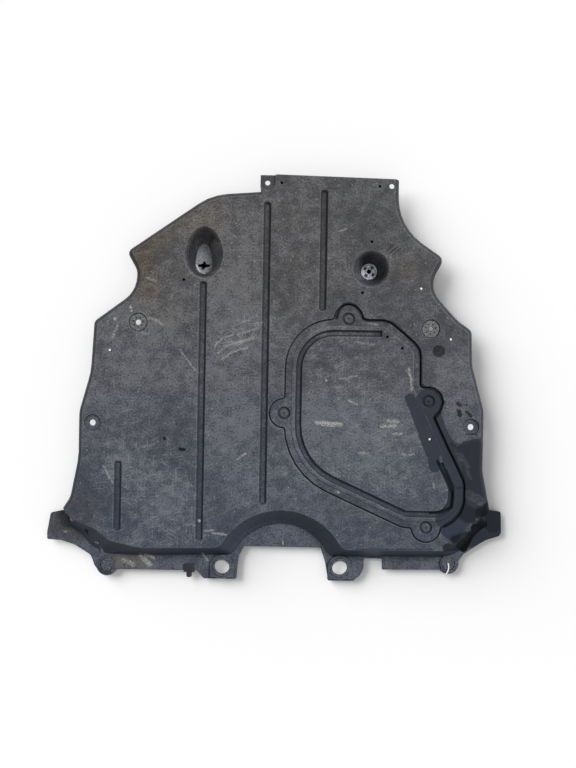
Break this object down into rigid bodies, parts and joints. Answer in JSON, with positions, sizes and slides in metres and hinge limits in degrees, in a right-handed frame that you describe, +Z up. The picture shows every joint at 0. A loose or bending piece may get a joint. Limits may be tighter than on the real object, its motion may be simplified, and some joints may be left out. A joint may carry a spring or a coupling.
{
  "type": "engine splash shield",
  "caption": "Formed plastic undertray with a sloped rear wall, stiffening beads, two deep fixing cups and a screwed service cover.",
  "frame": {"origin": "centre of the footprint, on the floor the shield lies on", "axes": "+Z up, out of the face that looks at the road when fitted; +Y towards the narrow edge; +X across the shield, towards the cover's side"},
  "size_m": [0.9249, 0.818, 0.044],
  "materials": {
    "panel_plastic": "dusty, scratched",
    "cover_plastic": "dusty, scratched",
    "black_plastic": "satin",
    "zinc_steel": "dull zinc",
    "white_plastic": "satin"
  },
  "bodies": {
    "root": {"shield_panel": "panel_plastic", "access_cover": "cover_plastic", "cover_screws": "black_plastic", "screw_retainers": "zinc_steel", "seat_washers": "panel_plastic", "cup_washer": "zinc_steel", "push_rivets": "black_plastic", "rivet_pin": "black_plastic", "edge_clip": "black_plastic", "tie_strip": "white_plastic"}
  },
  "joints": []
}
